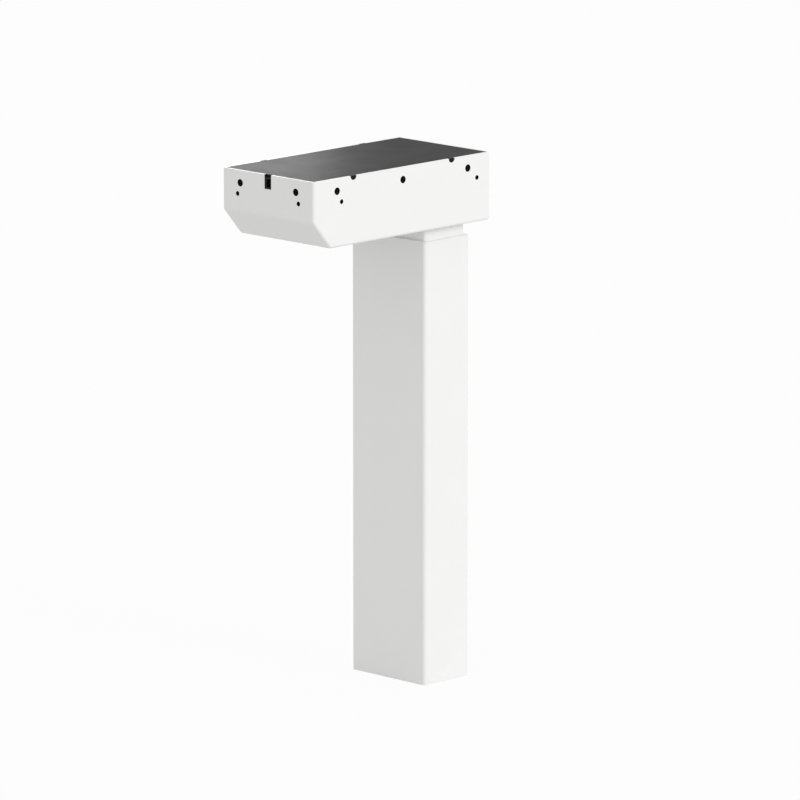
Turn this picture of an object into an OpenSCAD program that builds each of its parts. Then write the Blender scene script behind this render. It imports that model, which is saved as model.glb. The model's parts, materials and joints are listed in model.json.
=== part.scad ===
// Electric lifting column: a two-stage rectangular telescope with a motor housing on top.
// Millimetres, +Z up. The origin is the centre of the column's foot, on the floor.
// The column is drawn fully retracted. +X points from the motor towards the short end of the housing.

/* [Travel] */
// Stroke of the column
stroke = 350; // [200:10:450]
// Length of the outer tube beyond the stroke
tube_allowance = 123; // [119:1:200]
// Gap between the outer tube and the housing when retracted
stage_gap = 15; // [12:1:30]

/* [Column tubes] */
// Outer tube, short side, along X
column_x = 67; // [62:0.5:72]
// Outer tube, long side, along Y
column_y = 107.5; // [96:0.5:130]
// Wall of the outer tube
outer_wall = 2; // [1.5:0.1:2.2]
// Outer corner radius of the outer tube
outer_corner = 4; // [3:0.5:5]
// Gap between the two tubes, filled by the guides
tube_gap = 2.1; // [1.8:0.1:2.6]
// Wall of the inner tube
inner_wall = 2; // [1.5:0.1:2.4]
// Outer corner radius of the inner tube
inner_corner = 3; // [2.8:0.1:4]

/* [Guides] */
// Sliding clearance between a guide and the tube that runs in it
slide_clearance = 0.3; // [0.2:0.05:0.5]
// Depth of the upper guide inside the outer tube
upper_guide_h = 56; // [30:1:56]
// Lip of the upper guide over the rim of the outer tube
guide_lip = 1.2; // [0.8:0.1:3]
// Height of the lower guide's sleeve around the inner tube
lower_guide_h = 41; // [20:1:42]
// Thickness of the flange under the inner tube
guide_flange = 4; // [2:0.5:6]
// Height of the lower guide's spigot inside the inner tube
spigot_h = 24; // [10:1:40]
// Wall of that spigot
spigot_wall = 2; // [1.5:0.1:3]

/* [Foot] */
// Thickness of the base plate
base_t = 8; // [6:0.5:12]
// Core radius of the foot threads, M8
foot_thread_r = 3.4; // [2.5:0.1:4.3]
// Spacing of the foot threads along X
foot_pitch_x = 32; // [28:1:44]
// Spacing of the foot threads along Y
foot_pitch_y = 72; // [50:1:80]
// Height of the rubber buffers above the base plate
buffer_h = 3.7; // [2:0.1:6]
// Radius of a rubber buffer
buffer_r = 2.6; // [2:0.1:2.8]
// Spacing of the buffers along Y
buffer_pitch = 50; // [30:1:70]
// Gap left over the buffers when the column is retracted
buffer_gap = 0.3; // [0.2:0.1:1]

/* [Housing] */
// Room for cable slack between the motor's board and the motor end wall
cable_room = 57.9; // [50:0.1:100]
// Distance that each long side stands out beyond the outer tube
side_overhang = 12.5; // [12:0.5:30]
// Room between the gearbox and the lid
lid_room = 7.5; // [7:0.1:12]
// Distance from the column's axis to the short end of the housing
housing_tail = 51.5; // [48:0.5:70]
// Thickness of the housing's sheet steel
sheet_t = 2.5; // [1.5:0.1:2.8]
// Outer bend radius of the housing's upright corners
corner_r = 2.5; // [1:0.1:4]
// Outer bend radius along the bottom edges
bottom_r = 3; // [1:0.1:4]
// Length of the sloping face under the motor end, along X
slope_l = 24.5; // [15:0.5:30]
// Height of that sloping face
slope_h = 28.5; // [15:0.5:32]
// Gap between the inner tube and the opening in the housing's floor
floor_gap = 0.4; // [0.2:0.1:1]

/* [Housing holes] */
// Radius of the large side holes
hole_r = 3.9; // [3.1:0.1:4.5]
// Depth of the large holes' row below the rim
hole_drop = 13.2; // [12:0.1:16]
// Spacing of the three large holes on each long side
long_pitch = 96.5; // [80:0.5:105]
// Spacing of the two large holes on each end
end_pitch = 80.8; // [50:0.2:90]
// Radius of the small side holes
small_r = 2.5; // [1.5:0.1:3]
// Depth of the small holes below the rim
small_drop = 24.8; // [23:0.1:30]
// Small hole on a long side, distance from the motor end
small_near = 40.5; // [30:0.5:60]
// Small hole on a long side, distance from the short end
small_far = 20.3; // [16:0.1:50]
// Spacing of the two small holes on each end
small_end_pitch = 88.4; // [60:0.2:96]
// Radius of the half-round notches in the long rims
notch_r = 4.5; // [3:0.1:6]
// Spacing of the two notches on each long side
notch_pitch = 145; // [120:1:170]
// Width of the cable slot in the motor end
slot_w = 9.5; // [8:0.1:12]
// Depth of the cable slot below the rim
slot_h = 15; // [13:0.5:20]
// Width of the square weld nuts across their flats
nut_flats = 10; // [8:0.5:12]
// Thickness of the weld nuts
weld_nut_t = 5; // [3:0.5:6]
// Core radius of the weld nuts' thread, M6
weld_nut_r = 2.5; // [2:0.1:3]

/* [Lid] */
// Thickness of the lid
lid_t = 3; // [2:0.1:4]
// Gap between the lid and the housing's walls
lid_gap = 0.25; // [0.1:0.05:0.6]
// Depth of the skirt under the lid
skirt_h = 3.5; // [2:0.1:3.8]
// Thickness of the skirt
skirt_t = 1.6; // [1:0.1:3]
// Inset of the skirt from the lid's edge
skirt_inset = 1.5; // [0.5:0.1:4]
// Gap between a lid lug and its notch
lug_gap = 0.1; // [0.05:0.05:0.3]
// Depth of the lug's end face behind the housing's side
lug_recess = 0.6; // [0.2:0.1:1.2]

/* [Head plate] */
// Thickness of the head plate
plate_t = 5; // [4:0.5:8]
// Margin of the head plate around the inner tube
plate_margin = 12.4; // [11:0.1:12.6]
// Corner radius of the head plate
plate_corner = 4; // [2:0.5:8]
// Radius of the spindle's hole in the head plate
plate_hole_r = 13; // [10:0.5:15]
// Distance of the head bolts outside the inner tube's walls
head_bolt_out = 6.5; // [5.8:0.1:7]

/* [Worm gear] */
// Module of the worm and its wheel
gear_module = 1.25; // [1:0.05:1.3]
// Teeth of the worm wheel
wheel_teeth = 28; // [24:1:29]
// Starts of the worm
worm_starts = 2; // [1:1:2]
// Pitch radius of the worm
worm_pitch_r = 6.5; // [6:0.1:7]
// Pressure angle
pressure_angle = 20; // [18:0.5:22]
// Play between the flanks
backlash = 0.45; // [0.3:0.05:0.7]
// Face width of the wheel
wheel_face = 10; // [8:0.5:12]
// Length of the worm's thread
worm_l = 24; // [18:1:30]
// Height of the worm's axis above the head plate
gear_rise = 28; // [27:0.5:30]
// Radius of the wheel hub
hub_r = 11; // [9.5:0.5:12]

/* [Spindle drive] */
// Pitch radius of the spindle's thread
spindle_r = 6.4; // [6.2:0.1:7]
// Radius of the spindle's lower journal
journal_r = 6; // [5.5:0.1:6.1]
// Radius of the spindle's upper journal
top_journal_r = 4; // [3:0.1:4.5]
// Radius of the thrust collar
collar_r = 8.5; // [7.5:0.1:9]
// Height of the thrust collar
collar_h = 7; // [4:0.5:12]
// Height of the spindle's lower end above the base plate
spindle_lift = 26; // [24:1:40]
// Running clearance of the spindle in its nut
nut_clearance = 0.05; // [0.02:0.01:0.1]
// Length of the nut inside the nut tube
nut_l = 30; // [20:1:40]
// Thickness of the nut's flange
nut_flange_t = 6; // [4:0.5:8]
// Distance from the spindle's end stop to the nut at full stroke
nut_reserve = 6; // [2:0.5:20]
// Outer radius of the nut tube
nut_tube_r = 14; // [13.5:0.5:16]
// Wall of the nut tube
nut_tube_wall = 1.5; // [1:0.1:2]
// Outer radius of the collar around the top of the nut tube
nut_collar_r = 19; // [18.5:0.5:22]
// Height of that collar
nut_collar_h = 12; // [8:1:20]
// Height of the plug in the foot of the nut tube
foot_plug_h = 16; // [10:1:18]
// Radius of the spindle's end stop
end_stop_r = 11; // [9:0.5:12]
// Thickness of the end stop
end_stop_t = 3; // [2:0.5:4]

/* [Gearbox] */
// Half width of the gearbox along X, on the motor side
case_front = 38; // [36:0.5:44]
// Reach of the gearbox along X, away from the motor
case_back = 32; // [31:0.5:40]
// Reach of the gearbox beyond the worm's axis
case_worm_side = 24; // [20:0.5:30]
// Reach of the gearbox beyond the wheel's axis
case_wheel_side = 30; // [27:0.5:34]
// Height of the upper half of the gearbox
case_upper_h = 26; // [26:0.5:27.5]
// Corner radius of the gearbox
case_corner = 7; // [3:0.5:9]
// Clearance around the turning gears
gear_clearance = 1.5; // [1:0.1:2]

/* [Bearings] */
// Outer radius of the lower spindle bearing
lower_bearing_r = 16; // [15.5:0.5:17]
// Width of the lower spindle bearing
lower_bearing_w = 10; // [8:0.5:11]
// Ball radius of the lower spindle bearing
lower_ball_r = 2.6; // [2:0.1:2.8]
// Outer radius of the upper spindle bearing
upper_bearing_r = 11; // [10.5:0.5:12]
// Width of the upper spindle bearing
upper_bearing_w = 7; // [6:0.5:8]
// Ball radius of the upper spindle bearing
upper_ball_r = 1.9; // [1.5:0.1:2]
// Play between the balls and their grooves
ball_play = 0.08; // [0.04:0.01:0.12]
// Outer radius of the motor shaft's bushes
bush_r = 6; // [5:0.5:7]
// Length of the motor shaft's bushes
bush_l = 8; // [5:0.5:9]
// Running clearance of the motor shaft in its bushes
bush_clearance = 0.05; // [0.02:0.01:0.1]

/* [Motor] */
// Outer radius of the motor
motor_r = 25; // [22:0.5:26]
// Wall of the motor's can
can_wall = 1.5; // [1:0.1:2]
// Thickness of the motor's end cap
cap_t = 8; // [6:0.5:10]
// Radius of the motor shaft
shaft_r = 3; // [2.5:0.1:3.5]
// Thickness of the magnets
magnet_t = 5; // [3:0.5:5.5]
// Air gap between the magnets and the armature
air_gap = 0.7; // [0.5:0.1:1.5]
// Length of the armature's core
core_l = 56; // [40:1:80]
// Gap between the winding and the commutator
commutator_gap = 6; // [3:0.5:12]
// Slots of the armature
core_slots = 10; // [8:1:12]
// Radius of the commutator
commutator_r = 8; // [6:0.5:9]
// Length of the commutator
commutator_l = 9; // [7:0.5:10]
// Gap between the through bolts and the inside of the motor's can
through_bolt_gap = 1.3; // [0.6:0.1:1.8]

/* [Cable socket] */
// Gap between the socket and the edges of the cable slot
socket_gap = 0.2; // [0.1:0.05:0.4]
// Depth of the socket's face behind the end wall
socket_recess = 0.8; // [0.3:0.1:1.5]
// Depth of the socket's body behind the end wall
socket_l = 17; // [14:0.5:22]
// Wall of the socket
socket_wall = 1.2; // [0.8:0.1:1.6]
// Depth of the socket's mouth
socket_mouth = 12; // [9:0.5:13]
// Radius of the power leads
lead_r = 1.1; // [0.8:0.1:1.4]
// Radius of the signal lead
signal_r = 1.6; // [1:0.1:2]

/* [Hidden] */
$fn = 64;
// Tap and clearance radii of the metric screws, and their heads
m2_core = 0.9;
m4_core = 1.7;
m4_hole = 2.2;
m4_head_r = 3.5;
m4_head_h = 4;
nut_head_r = 2.35;
nut_head_h = 2.5;
m5_core = 2.1;
m5_hole = 2.7;
m5_head_r = 4.25;
m5_head_h = 5;
m6_core = 2.5;
m6_hole = 3.3;
m6_head_r = 5.2;
m6_head_h = 3.3;
m8_core = 3.4;
m8_hole = 4.3;
m8_head_r = 7.8;
head_sink = 0.4;
// Radius of the countersink at the plate's face, a hair wider than the screw's head
sink_r = m8_head_r + head_sink + 0.05;
m8_socket_r = 2.9;
m8_socket_depth = 3.4;
eps = 0.01;
// Length that a screw stops short of the end of its hole
screw_reserve = 2;

// Heights
column_h = stroke + tube_allowance;
floor_z = column_h + stage_gap;
floor_top = floor_z + sheet_t;
plate_top = floor_top + plate_t;
gear_z = plate_top + gear_rise;
case_top = gear_z + case_upper_h;
lid_bottom = case_top + lid_room;
total_h = lid_bottom + lid_t;
housing_h = total_h - floor_z;
hole_z = total_h - hole_drop;
small_z = total_h - small_drop;

// Tubes
bore_x = column_x - 2 * outer_wall;
bore_y = column_y - 2 * outer_wall;
inner_x = bore_x - 2 * tube_gap;
inner_y = bore_y - 2 * tube_gap;
cavity_x = inner_x - 2 * inner_wall;
cavity_y = inner_y - 2 * inner_wall;
bore_corner = max(outer_corner - outer_wall, 0.5);
cavity_corner = max(inner_corner - inner_wall, 0.5);
spigot_corner = 1;
guide_bottom = base_t + buffer_h + buffer_gap;
inner_bottom = guide_bottom + guide_flange;
shoe_x = bore_x - 2 * slide_clearance;
shoe_y = bore_y - 2 * slide_clearance;
spigot_x = cavity_x - 2 * spigot_wall;
spigot_y = cavity_y - 2 * spigot_wall;
// The buffers stand under the middle of the lower guide's flange
buffer_x = (shoe_x + spigot_x) / 4;

// Head plate
plate_x = inner_x + 2 * plate_margin;
plate_y = inner_y + 2 * plate_margin;
head_bolt_x = inner_x / 2 + head_bolt_out;
head_bolt_y = inner_y / 2 + head_bolt_out;

// Spindle drive
spindle_bottom = base_t + spindle_lift;
nut_bottom = spindle_bottom + stroke + nut_reserve;
nut_tube_top = nut_bottom + nut_l;
nut_bore_r = spindle_r + nut_clearance;
nut_body_r = nut_tube_r - nut_tube_wall;
nut_screw_circle = (nut_tube_r + nut_collar_r) / 2;
hub_shoulder = 4.5;
hub_neck = 2;
lower_bearing_top = plate_top + lower_bearing_w;
upper_bearing_bottom = gear_z + wheel_face / 2 + hub_shoulder;
upper_bearing_top = upper_bearing_bottom + upper_bearing_w;
lower_balls = 9;
upper_balls = 8;
lower_pitch_r = (journal_r + lower_bearing_r) / 2;
upper_pitch_r = (top_journal_r + upper_bearing_r) / 2;
// Half the width left open between the two rings of a bearing
lower_land = lower_ball_r * 0.8;
upper_land = upper_ball_r * 0.8;
circlip_t = 1;
circlip_gap = 3;
circlip_rim = 1.4;
shaft_end_l = 4;
spindle_top = upper_bearing_top + shaft_end_l;
groove_depth = 0.5;
stop_screw_l = 14;
stop_head_h = 3;
key_l = wheel_face - 1;
key_w = 4;

// Worm and wheel
wheel_pitch_r = gear_module * wheel_teeth / 2;
worm_y = -(wheel_pitch_r + worm_pitch_r);
worm_lead = PI * gear_module * worm_starts;
addendum = gear_module;
dedendum = 1.2 * gear_module;
tooth_thickness = PI * gear_module / 2 - backlash / 2;
worm_tip_r = worm_pitch_r + addendum;
worm_root_r = worm_pitch_r - dedendum;
wheel_tip_r = wheel_pitch_r + addendum;
wheel_root_r = wheel_pitch_r - dedendum;
wheel_base_r = wheel_pitch_r * cos(pressure_angle);
wheel_twist = 360 * wheel_face * (worm_lead / (2 * PI * worm_pitch_r)) / (2 * PI * wheel_pitch_r);
hub_sleeve_t = 2.2;
hub_top = upper_bearing_bottom;
journal_top = hub_top - hub_neck - 1;
// Sleeve on the motor's shaft that the worm is cut on
worm_sleeve_l = 10;
sleeve_x0 = -worm_l / 2 - worm_sleeve_l;
sleeve_r = worm_root_r - 0.4;
shaft_seat_l = 8;
neck_r = top_journal_r + hub_sleeve_t;

// Gearbox
case_y0 = worm_y - case_worm_side;
case_y1 = case_wheel_side;
case_bolt_inset = 6;
head_gap = 0.4;
bolt_end_gap = 0.3;
case_bolt_x0 = -case_front + 2 * case_bolt_inset;
case_bolt_x1 = case_back - case_bolt_inset;
chamber_r = wheel_tip_r + gear_clearance;
chamber_h = wheel_face + 2 * gear_clearance;
worm_channel_r = worm_tip_r + gear_clearance;
case_end_wall = 3;
worm_bush_x0 = case_back - bush_l - case_end_wall;

// Motor, its axis along X at y = worm_y, z = gear_z
can_front = -case_front;
winding_overhang = 6;
front_room = 8;
brush_room = 4;
core_front = can_front - front_room - winding_overhang;
core_back = core_front - core_l;
commutator_back = core_back - winding_overhang - commutator_gap - commutator_l;
can_back = commutator_back - brush_room;
cap_back = can_back - cap_t;
can_bore_r = motor_r - can_wall;
magnet_in_r = can_bore_r - magnet_t;
core_r = magnet_in_r - air_gap;
through_bolt_offset = can_bore_r - m4_core - through_bolt_gap;
magnet_overhang = 3;
magnet_l = core_l + 2 * magnet_overhang;
magnet_half_angle = 58;
bar_gap = 0.6;
bar_depth = 1.2;
slot_mouth = 1.6;
wire_gap = 0.15;
slot_circle = core_r * 0.72;
slot_r = core_r * PI / core_slots * 0.45;
magnet_disc_l = 4;
magnet_disc_r = 6;
shaft_back = cap_back - 1 - magnet_disc_l;
board_gap = 1.5;
board_x = shaft_back - board_gap;
board_t = 1.6;
board_back = board_x - board_t;
board_y = 30;
board_z = 44;
board_post_y = 11;
board_post_z = 14;
brush_w = 6;
brush_out_r = can_bore_r - 6;
brush_gap = 0.3;
brush_guide_wall = 1.5;
brush_play = 0.1;
brush_x0 = commutator_back + brush_guide_wall + brush_play;
spring_l = 3.5;
spring_r = 2.4;
spring_wire = 0.8;
cap_spigot = 3;
board_drop = 8;
board_post_r = 2.6;
board_hole_r = 1.3;
board_screw_r = 2;
board_screw_h = 1.4;
board_screw_l = 4;
sensor_l = 3;
sensor_h = 4;
sensor_t = 1;
sensor_offset = 4.4;
cradle_l = 22;
cradle_w = 34;
cradle_gap = 0.1;
// Height of the cradle's ends below the motor's axis, as a share of the motor's radius
cradle_wrap = 0.72;
through_thread_l = 8;
m4_socket_r = 1.9;

// Housing in plan
tail_x = housing_tail;
motor_end_x = board_back - cable_room - sheet_t;
housing_l = tail_x - motor_end_x;
housing_w = column_y + 2 * side_overhang;
housing_mid_x = (tail_x + motor_end_x) / 2;

// Cable socket and leads
socket_x0 = motor_end_x + sheet_t;
socket_nose_w = slot_w - 2 * socket_gap;
socket_bottom = total_h - slot_h + socket_gap;
socket_top = lid_bottom - socket_gap;
socket_flange = 3;
socket_back = socket_x0 + socket_l;
lead_clearance = 0.2;
lead_z = socket_bottom - lead_r - lead_clearance - 0.4;
lead_offset = 9;
lead_pitch = 6;
lead_bend = 6;
// Cross runs of the two power leads and of the signal lead, behind the motor and the board
red_turn = board_back - lead_bend - 2.9;
black_turn = red_turn - 2 * lead_bend - 1;
signal_turn = (red_turn + black_turn) / 2;
signal_z = (socket_bottom + socket_top) / 2;
pin_l = 4;
pin_w = 0.8;
pin_pitch_y = 3.2;
pin_pitch_z = 3;

// ---- Shared shapes ----

// Rectangle with round corners, centred on the origin
module rounded_rect(x, y, r) {
    square([x - 2 * r, y], center = true);
    square([x, y - 2 * r], center = true);
    for (sx = [-1, 1], sy = [-1, 1])
        translate([sx * (x / 2 - r), sy * (y / 2 - r)])
            circle(r);
}

// Rectangular tube standing on z0
module box_tube(x, y, r, inner_size_x, inner_size_y, inner_r, z0, z1) {
    translate([0, 0, z0])
        linear_extrude(z1 - z0)
            difference() {
                rounded_rect(x, y, r);
                rounded_rect(inner_size_x, inner_size_y, inner_r);
            }
}

// Upright cylinder from z0 to z1
module post(r, z0, z1) {
    translate([0, 0, z0])
        cylinder(r = r, h = z1 - z0);
}

// Cylinder along X on the motor's axis
module axle(r, x0, x1) {
    translate([x0, worm_y, gear_z])
        rotate([0, 90, 0])
            cylinder(r = r, h = x1 - x0);
}

// Upright ring from z0 to z1
module ring(r_out, r_in, z0, z1) {
    difference() {
        post(r_out, z0, z1);
        post(r_in, z0 - 1, z1 + 1);
    }
}

// Ring along X on the motor's axis
module axle_ring(r_out, r_in, x0, x1) {
    difference() {
        axle(r_out, x0, x1);
        axle(r_in, x0 - 1, x1 + 1);
    }
}

// Copies its child to the four corners of a rectangle
module at_corners(x, y) {
    for (sx = [-1, 1], sy = [-1, 1])
        translate([sx * x, sy * y, 0])
            children();
}

// Socket-head cap screw pointing down, its head standing on z1
module cap_screw(core, head_r, head_h, z0, z1) {
    difference() {
        union() {
            post(core, z0, z1 + eps);
            post(head_r, z1, z1 + head_h);
        }
        translate([0, 0, z1 + head_h / 2])
            cylinder(r = head_r * 0.58, h = head_h, $fn = 6);
    }
}

// Ring of a ball bearing with its groove, its bore or its outside next to the balls
module bearing_ring(r_in, r_out, pitch_r, ball_r, z0, w) {
    translate([0, 0, z0])
        rotate_extrude()
            difference() {
                translate([r_in, 0])
                    square([r_out - r_in, w]);
                translate([pitch_r, w / 2])
                    circle(ball_r + ball_play);
            }
}

// Balls of a bearing, spread evenly round it
module bearing_balls(pitch_r, ball_r, count, z0, w) {
    for (i = [0 : count - 1])
        rotate([0, 0, i * 360 / count])
            translate([pitch_r, 0, z0 + w / 2])
                sphere(ball_r, $fn = 32);
}

// ---- Foot and outer stage ----

module outer_tube() {
    color("whitesmoke")
        box_tube(column_x, column_y, outer_corner, bore_x, bore_y, bore_corner, 0, column_h - guide_lip);
}

module base_plate() {
    color("silver")
        difference() {
            linear_extrude(base_t)
                rounded_rect(bore_x, bore_y, bore_corner);
            at_corners(foot_pitch_x / 2, foot_pitch_y / 2)
                post(foot_thread_r, -1, base_t + 1);
            post(m8_hole, -1, base_t + 1);
            translate([0, 0, -1])
                cylinder(r1 = sink_r + 1, r2 = m8_hole, h = sink_r + 1 - m8_hole);
            at_corners(buffer_x, buffer_pitch / 2)
                post(buffer_r / 2, base_t / 2, base_t + 1);
        }
}

module end_buffers() {
    color("black")
        at_corners(buffer_x, buffer_pitch / 2) {
            post(buffer_r, base_t, base_t + buffer_h);
            post(buffer_r / 2, base_t / 2, base_t + eps);
        }
}

module upper_guide() {
    guide_x = inner_x + 2 * slide_clearance;
    guide_y = inner_y + 2 * slide_clearance;
    guide_corner = inner_corner + slide_clearance;
    sleeve_bottom = column_h - guide_lip - upper_guide_h;
    color("whitesmoke") {
        box_tube(bore_x, bore_y, bore_corner, guide_x, guide_y, guide_corner, sleeve_bottom, column_h);
        box_tube(column_x, column_y, outer_corner, guide_x, guide_y, guide_corner,
            column_h - guide_lip, column_h);
    }
}

module nut_tube() {
    color("silver")
        ring(nut_tube_r, nut_tube_r - nut_tube_wall, base_t, nut_tube_top);
}

module nut_tube_foot() {
    color("dimgray")
        ring(nut_body_r, m8_core, base_t, base_t + foot_plug_h);
}

module nut_tube_screw() {
    head_h = m8_head_r - m8_core;
    color("gray")
        difference() {
            union() {
                translate([0, 0, head_sink])
                    cylinder(r1 = m8_head_r, r2 = m8_core, h = head_h);
                post(m8_core, head_sink, base_t + foot_plug_h - screw_reserve);
            }
            translate([0, 0, -1])
                cylinder(r = m8_socket_r, h = m8_socket_depth + 1, $fn = 6);
        }
}

module nut_collar() {
    color("silver")
        difference() {
            ring(nut_collar_r, nut_tube_r, nut_tube_top - nut_collar_h, nut_tube_top);
            nut_screw_places()
                post(m4_core, nut_tube_top - nut_collar_h + screw_reserve, nut_tube_top + 1);
        }
}

// Copies its child to the three screws of the nut
module nut_screw_places() {
    for (i = [0 : 2])
        rotate([0, 0, 90 + i * 120])
            translate([nut_screw_circle, 0, 0])
                children();
}

module spindle_nut() {
    color("ivory")
        difference() {
            union() {
                post(nut_body_r, nut_bottom, nut_tube_top + eps);
                post(nut_collar_r, nut_tube_top, nut_tube_top + nut_flange_t);
            }
            post(nut_bore_r, nut_bottom - 1, nut_tube_top + nut_flange_t + 1);
            nut_screw_places()
                post(m4_hole, nut_tube_top - 1, nut_tube_top + nut_flange_t + 1);
        }
}

module nut_screws() {
    color("gray")
        nut_screw_places()
            cap_screw(m4_core, nut_head_r, nut_head_h, nut_tube_top - nut_collar_h + screw_reserve + 1,
                nut_tube_top + nut_flange_t);
}

// ---- Housing ----

// Side outline of the housing, drawn in X and Z, shrunk by t on every side but the top
module housing_side(t) {
    slope = atan2(slope_h, slope_l);
    foot_shift = t * (1 - cos(slope)) / sin(slope);
    side_shift = t * (1 - sin(slope)) / cos(slope);
    polygon([
        [motor_end_x + t, total_h + (t > 0 ? 1 : 0)],
        [motor_end_x + t, floor_z + slope_h + side_shift],
        [motor_end_x + slope_l + foot_shift, floor_z + t],
        [tail_x - t, floor_z + t],
        [tail_x - t, total_h + (t > 0 ? 1 : 0)]
    ]);
}

// Body bounded by the housing's side, plan and end outlines, shrunk by t
module housing_body(t) {
    w = housing_w - 2 * t;
    upright_r = max(corner_r - t, 0.4);
    lower_r = max(bottom_r - t, 0.4);
    top = total_h + (t > 0 ? 1 : 0);
    intersection() {
        translate([0, w / 2, 0])
            rotate([90, 0, 0])
                linear_extrude(w)
                    housing_side(t);
        translate([housing_mid_x, 0, floor_z - 1])
            linear_extrude(housing_h + 4)
                rounded_rect(housing_l - 2 * t, w, upright_r);
        translate([motor_end_x - 1, 0, 0])
            rotate([90, 0, 90])
                linear_extrude(housing_l + 2)
                    end_outline(w, floor_z + t, top + 2, lower_r);
    }
}

// Rectangle from z0 to z1 with its two lower corners rounded
module end_outline(w, z0, z1, r) {
    translate([-w / 2 + r, z0])
        square([w - 2 * r, r]);
    translate([-w / 2, z0 + r])
        square([w, z1 - z0 - r]);
    for (s = [-1, 1])
        translate([s * (w / 2 - r), z0 + r])
            circle(r);
}

// Copies its child to the large holes of a long side, the child pointing along +Y at the origin
module long_hole_places() {
    for (i = [-1 : 1], s = [-1, 1])
        translate([housing_mid_x + i * long_pitch, s * housing_w / 2, hole_z])
            rotate([0, 0, s > 0 ? 180 : 0])
                children();
}

// Copies its child to the large holes of both ends, the child pointing along +Y at the origin
module end_hole_places() {
    for (s = [-1, 1]) {
        translate([motor_end_x, s * end_pitch / 2, hole_z])
            rotate([0, 0, -90])
                children();
        translate([tail_x, s * end_pitch / 2, hole_z])
            rotate([0, 0, 90])
                children();
    }
}

// Hole through a sheet wall, along Y from the wall's outer face
module wall_hole(r) {
    translate([0, -1, 0])
        rotate([-90, 0, 0])
            cylinder(r = r, h = sheet_t + 2);
}

module housing_shell() {
    color("whitesmoke")
        difference() {
            housing_body(0);
            housing_body(sheet_t);
            translate([0, 0, floor_z - 1])
                linear_extrude(sheet_t + 2)
                    rounded_rect(inner_x + 2 * floor_gap, inner_y + 2 * floor_gap,
                        inner_corner + floor_gap);
            at_corners(head_bolt_x, head_bolt_y)
                post(m6_core, floor_z - 1, floor_top + 1);
            long_hole_places()
                wall_hole(hole_r);
            end_hole_places()
                wall_hole(hole_r);
            for (x = [motor_end_x + small_near, tail_x - small_far])
                translate([x, 0, small_z])
                    rotate([90, 0, 0])
                        cylinder(r = small_r, h = housing_w + 2, center = true);
            for (s = [-1, 1])
                translate([housing_mid_x, s * small_end_pitch / 2, small_z])
                    rotate([0, 90, 0])
                        cylinder(r = small_r, h = housing_l + 2, center = true);
            notch_places()
                rotate([90, 0, 0])
                    cylinder(r = notch_r, h = housing_w + 2, center = true);
            translate([motor_end_x - 1, -slot_w / 2, total_h - slot_h])
                cube([sheet_t + 2, slot_w, slot_h + 1]);
        }
}

// Copies its child to the notches' centres on the rim, over the middle of the housing
module notch_places() {
    for (s = [-1, 1])
        translate([housing_mid_x + s * notch_pitch / 2, 0, total_h])
            children();
}

// Square weld nut whose seat is on the inner face of a wall
module weld_nut() {
    translate([0, sheet_t, 0])
        rotate([-90, 0, 0])
            difference() {
                translate([0, 0, weld_nut_t / 2])
                    cube([nut_flats, nut_flats, weld_nut_t], center = true);
                translate([0, 0, -1])
                    cylinder(r = weld_nut_r, h = weld_nut_t + 2);
            }
}

module weld_nuts() {
    color("silver") {
        long_hole_places()
            weld_nut();
        end_hole_places()
            weld_nut();
    }
}

module top_lid() {
    lid_l = housing_l - 2 * (sheet_t + lid_gap);
    lid_w = housing_w - 2 * (sheet_t + lid_gap);
    skirt_l = lid_l - 2 * skirt_inset;
    skirt_w = lid_w - 2 * skirt_inset;
    plan_r = max(corner_r - sheet_t, 1);
    color([0.16, 0.16, 0.17])
        difference() {
            union() {
                translate([housing_mid_x, 0, lid_bottom])
                    linear_extrude(lid_t)
                        rounded_rect(lid_l, lid_w, plan_r);
                translate([housing_mid_x, 0, lid_bottom - skirt_h])
                    linear_extrude(skirt_h + eps)
                        difference() {
                            square([skirt_l, skirt_w], center = true);
                            square([skirt_l - 2 * skirt_t, skirt_w - 2 * skirt_t], center = true);
                        }
                notch_places()
                    lid_lugs();
            }
            translate([motor_end_x, -slot_w / 2 - socket_flange - 1, lid_bottom - skirt_h - 1])
                cube([socket_l + sheet_t + 1, slot_w + 2 * socket_flange + 2, skirt_h + 1]);
        }
}

// Half-round lugs that reach from the skirt into the notches of both long rims
module lid_lugs() {
    lug_r = notch_r - lug_gap;
    lug_face = housing_w / 2 - lug_recess;
    lug_l = lug_face - housing_w / 2 + sheet_t + lid_gap + skirt_inset + skirt_t / 2;
    for (s = [0, 1])
        rotate([0, 0, 180 * s])
            translate([0, lug_face - lug_l, 0])
                rotate([-90, 0, 0])
                    linear_extrude(lug_l)
                        intersection() {
                            circle(lug_r);
                            translate([-lug_r, 0])
                                square([2 * lug_r, lug_r]);
                        }
}

// ---- Inner stage ----

module inner_tube() {
    color("whitesmoke")
        box_tube(inner_x, inner_y, inner_corner, cavity_x, cavity_y, cavity_corner,
            inner_bottom, floor_top);
}

module lower_guide() {
    color("ivory") {
        box_tube(shoe_x, shoe_y, bore_corner, inner_x, inner_y, inner_corner,
            inner_bottom - eps, inner_bottom + lower_guide_h);
        box_tube(shoe_x, shoe_y, bore_corner, spigot_x, spigot_y, spigot_corner,
            guide_bottom, inner_bottom);
        box_tube(cavity_x, cavity_y, cavity_corner, spigot_x, spigot_y, spigot_corner,
            inner_bottom - eps, inner_bottom + spigot_h);
    }
}

module head_plate() {
    color("silver")
        difference() {
            translate([0, 0, floor_top])
                linear_extrude(plate_t)
                    rounded_rect(plate_x, plate_y, plate_corner);
            post(plate_hole_r, floor_top - 1, plate_top + 1);
            at_corners(head_bolt_x, head_bolt_y)
                post(m6_hole, floor_top - 1, plate_top + 1);
            case_bolt_places()
                post(m5_core, floor_top - 1, plate_top + 1);
        }
}

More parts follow.
